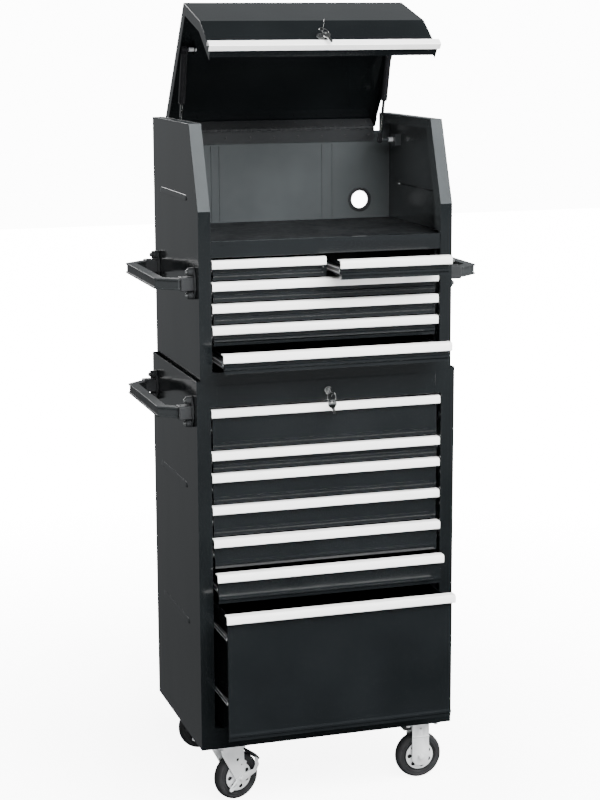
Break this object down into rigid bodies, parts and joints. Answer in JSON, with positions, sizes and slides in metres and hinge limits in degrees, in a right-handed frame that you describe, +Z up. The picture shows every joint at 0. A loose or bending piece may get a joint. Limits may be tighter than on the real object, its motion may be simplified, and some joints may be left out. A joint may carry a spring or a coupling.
{
  "type": "rolling tool chest",
  "caption": "Black steel top chest with a raised lift-up lid, standing on a matching roller cabinet; drawers with aluminium pull trims, side push handles and swivel castors.",
  "frame": {"origin": "on the floor, under the middle of the whole object's box with the lid raised and four drawers part-way open", "axes": "+Z up, the drawer fronts face -Y, +X to the right of someone facing the drawers"},
  "size_m": [0.849, 0.6136, 2.0301],
  "materials": {
    "black_paint": "gloss black powder coat",
    "handle_grey": "satin dark grey paint",
    "trim_aluminium": "satin anodised aluminium",
    "zinc_steel": "bright zinc-plated steel",
    "dark_slide_steel": "dark oiled slide steel",
    "chrome": "polished nickel plating",
    "black_rubber": "matte black rubber",
    "tyre_rubber": "matte black tyre rubber",
    "foam_mat": "ribbed foam liner",
    "strut_black": "gloss black strut body"
  },
  "bodies": {
    "carcass": {"cabinet_shell": "black_paint", "cabinet_slides_left": "dark_slide_steel", "cabinet_slides_right": "dark_slide_steel", "chest_shell": "black_paint", "compartment_floor": "black_paint", "compartment_mat": "foam_mat", "chest_slides_left": "dark_slide_steel", "chest_slides_right": "dark_slide_steel", "cable_grommet": "black_rubber", "hinge_leaf_chest": "zinc_steel", "handle_chest_left": "handle_grey", "handle_chest_right": "handle_grey", "handle_cabinet_left": "handle_grey", "castor_plate_front_left": "zinc_steel", "castor_plate_rear_left": "zinc_steel", "castor_fork_front_right": "zinc_steel", "castor_fork_rear_right": "zinc_steel"},
    "drawer_cabinet_1": {"drawer_cabinet_1": "black_paint", "trim_cabinet_1": "trim_aluminium"},
    "drawer_cabinet_2": {"drawer_cabinet_2": "black_paint", "trim_cabinet_2": "trim_aluminium"},
    "drawer_cabinet_3": {"drawer_cabinet_3": "black_paint", "trim_cabinet_3": "trim_aluminium"},
    "drawer_cabinet_4": {"drawer_cabinet_4": "black_paint", "trim_cabinet_4": "trim_aluminium"},
    "drawer_cabinet_5": {"drawer_cabinet_5": "black_paint", "trim_cabinet_5": "trim_aluminium"},
    "drawer_cabinet_6": {"drawer_cabinet_6": "black_paint", "trim_cabinet_6": "trim_aluminium"},
    "drawer_cabinet_7": {"drawer_cabinet_7": "black_paint", "trim_cabinet_7": "trim_aluminium"},
    "drawer_chest_2": {"drawer_chest_2": "black_paint", "trim_chest_2": "trim_aluminium"},
    "drawer_chest_3": {"drawer_chest_3": "black_paint", "trim_chest_3": "trim_aluminium"},
    "drawer_chest_4": {"drawer_chest_4": "black_paint", "trim_chest_4": "trim_aluminium"},
    "drawer_chest_5": {"drawer_chest_5": "black_paint", "trim_chest_5": "trim_aluminium"},
    "drawer_chest_1_left": {"drawer_chest_1_left": "black_paint", "trim_chest_1_left": "trim_aluminium"},
    "drawer_chest_1_right": {"drawer_chest_1_right": "black_paint", "trim_chest_1_right": "trim_aluminium"},
    "lid": {"lid": "black_paint", "lid_trim": "trim_aluminium", "hinge_leaf_lid": "zinc_steel"},
    "strut_rod_left": {"strut_rod_left": "chrome"},
    "strut_tube_left": {"strut_tube_left": "strut_black"},
    "strut_rod_right": {"strut_rod_right": "chrome"},
    "strut_tube_right": {"strut_tube_right": "strut_black"},
    "lid_key": {"lid_key": "chrome"},
    "cabinet_key": {"cabinet_key": "chrome"},
    "castor_fork_front_left": {"castor_fork_front_left": "zinc_steel"},
    "castor_wheel_front_left": {"castor_wheel_front_left": "tyre_rubber"},
    "castor_brake_front_left": {"castor_brake_front_left": "zinc_steel"},
    "castor_wheel_front_right": {"castor_wheel_front_right": "tyre_rubber"},
    "castor_fork_rear_left": {"castor_fork_rear_left": "zinc_steel"},
    "castor_wheel_rear_left": {"castor_wheel_rear_left": "tyre_rubber"},
    "castor_brake_rear_left": {"castor_brake_rear_left": "zinc_steel"},
    "castor_wheel_rear_right": {"castor_wheel_rear_right": "tyre_rubber"}
  },
  "joints": [
    {"name": "cabinet_1_slide", "type": "slide", "parent": "carcass", "child": "drawer_cabinet_1", "axis": [0, -1, 0], "range_m": [0, 0.3]},
    {"name": "cabinet_2_slide", "type": "slide", "parent": "carcass", "child": "drawer_cabinet_2", "axis": [0, -1, 0], "range_m": [0, 0.3]},
    {"name": "cabinet_3_slide", "type": "slide", "parent": "carcass", "child": "drawer_cabinet_3", "axis": [0, -1, 0], "range_m": [0, 0.3]},
    {"name": "cabinet_4_slide", "type": "slide", "parent": "carcass", "child": "drawer_cabinet_4", "axis": [0, -1, 0], "range_m": [0, 0.3]},
    {"name": "cabinet_5_slide", "type": "slide", "parent": "carcass", "child": "drawer_cabinet_5", "axis": [0, -1, 0], "range_m": [-0.008, 0.292]},
    {"name": "cabinet_6_slide", "type": "slide", "parent": "carcass", "child": "drawer_cabinet_6", "axis": [0, -1, 0], "range_m": [-0.038, 0.262]},
    {"name": "cabinet_7_slide", "type": "slide", "parent": "carcass", "child": "drawer_cabinet_7", "axis": [0, -1, 0], "range_m": [-0.121, 0.179]},
    {"name": "chest_2_slide", "type": "slide", "parent": "carcass", "child": "drawer_chest_2", "axis": [0, -1, 0], "range_m": [0, 0.3]},
    {"name": "chest_3_slide", "type": "slide", "parent": "carcass", "child": "drawer_chest_3", "axis": [0, -1, 0], "range_m": [0, 0.3]},
    {"name": "chest_4_slide", "type": "slide", "parent": "carcass", "child": "drawer_chest_4", "axis": [0, -1, 0], "range_m": [0, 0.3]},
    {"name": "chest_5_slide", "type": "slide", "parent": "carcass", "child": "drawer_chest_5", "axis": [0, -1, 0], "range_m": [-0.096, 0.204]},
    {"name": "chest_1_left_slide", "type": "slide", "parent": "carcass", "child": "drawer_chest_1_left", "axis": [0, -1, 0], "range_m": [0, 0.3]},
    {"name": "chest_1_right_slide", "type": "slide", "parent": "carcass", "child": "drawer_chest_1_right", "axis": [0, -1, 0], "range_m": [-0.092, 0.208]},
    {"name": "lid_hinge", "type": "hinge", "parent": "carcass", "child": "lid", "pos_m": [0, 0.27571, 1.7], "axis": [1, 0, 0], "range_deg": [0, 54.1]},
    {"name": "strut_swing_left", "type": "hinge", "parent": "carcass", "child": "strut_rod_left", "pos_m": [-0.276, 0.20451, 1.671], "axis": [1, 0, 0], "range_deg": [0, 61.52]},
    {"name": "strut_slide_left", "type": "slide", "parent": "strut_rod_left", "child": "strut_tube_left", "axis": [0, -0.2655, 0.9641], "range_m": [-0.06412, 0]},
    {"name": "strut_swing_right", "type": "hinge", "parent": "carcass", "child": "strut_rod_right", "pos_m": [0.276, 0.20451, 1.671], "axis": [1, 0, 0], "range_deg": [0, 61.52]},
    {"name": "strut_slide_right", "type": "slide", "parent": "strut_rod_right", "child": "strut_tube_right", "axis": [0, -0.2655, 0.9641], "range_m": [-0.06412, 0]},
    {"name": "lid_key_turn", "type": "hinge", "parent": "lid", "child": "lid_key", "pos_m": [0, -0.13085, 1.94585], "axis": [0, -0.5864, 0.81], "range_deg": [0, 90]},
    {"name": "cabinet_key_turn", "type": "hinge", "parent": "carcass", "child": "cabinet_key", "pos_m": [0, -0.18549, 1.0757], "axis": [0, -1, 0], "range_deg": [0, 90]},
    {"name": "castor_swivel_front_left", "type": "hinge", "parent": "carcass", "child": "castor_fork_front_left", "pos_m": [-0.265, -0.13949, 0.144], "axis": [0, 0, 1], "continuous": true},
    {"name": "castor_roll_front_left", "type": "hinge", "parent": "castor_fork_front_left", "child": "castor_wheel_front_left", "pos_m": [-0.23647, -0.13022, 0.0625], "axis": [-0.309, 0.9511, 0], "continuous": true},
    {"name": "castor_brake_press_front_left", "type": "hinge", "parent": "castor_fork_front_left", "child": "castor_brake_front_left", "pos_m": [-0.23647, -0.13022, 0.0625], "axis": [-0.309, 0.9511, 0], "range_deg": [0, 15]},
    {"name": "castor_roll_front_right", "type": "hinge", "parent": "carcass", "child": "castor_wheel_front_right", "pos_m": [0.265, -0.13949, 0.0625], "axis": [0, 1, 0], "continuous": true},
    {"name": "castor_swivel_rear_left", "type": "hinge", "parent": "carcass", "child": "castor_fork_rear_left", "pos_m": [-0.265, 0.23851, 0.144], "axis": [0, 0, 1], "continuous": true},
    {"name": "castor_roll_rear_left", "type": "hinge", "parent": "castor_fork_rear_left", "child": "castor_wheel_rear_left", "pos_m": [-0.23546, 0.24372, 0.0625], "axis": [-0.1736, 0.9848, 0], "continuous": true},
    {"name": "castor_brake_press_rear_left", "type": "hinge", "parent": "castor_fork_rear_left", "child": "castor_brake_rear_left", "pos_m": [-0.23546, 0.24372, 0.0625], "axis": [-0.1736, 0.9848, 0], "range_deg": [0, 15]},
    {"name": "castor_roll_rear_right", "type": "hinge", "parent": "carcass", "child": "castor_wheel_rear_right", "pos_m": [0.265, 0.23851, 0.0625], "axis": [0, 1, 0], "continuous": true}
  ],
  "couplings": [
    {"joint": "strut_swing_left", "follows": "lid_hinge", "ratio": 1.1369},
    {"joint": "strut_slide_left", "follows": "lid_hinge", "m_per_rad": -0.067801},
    {"joint": "strut_swing_right", "follows": "lid_hinge", "ratio": 1.1369},
    {"joint": "strut_slide_right", "follows": "lid_hinge", "m_per_rad": -0.067801}
  ]
}
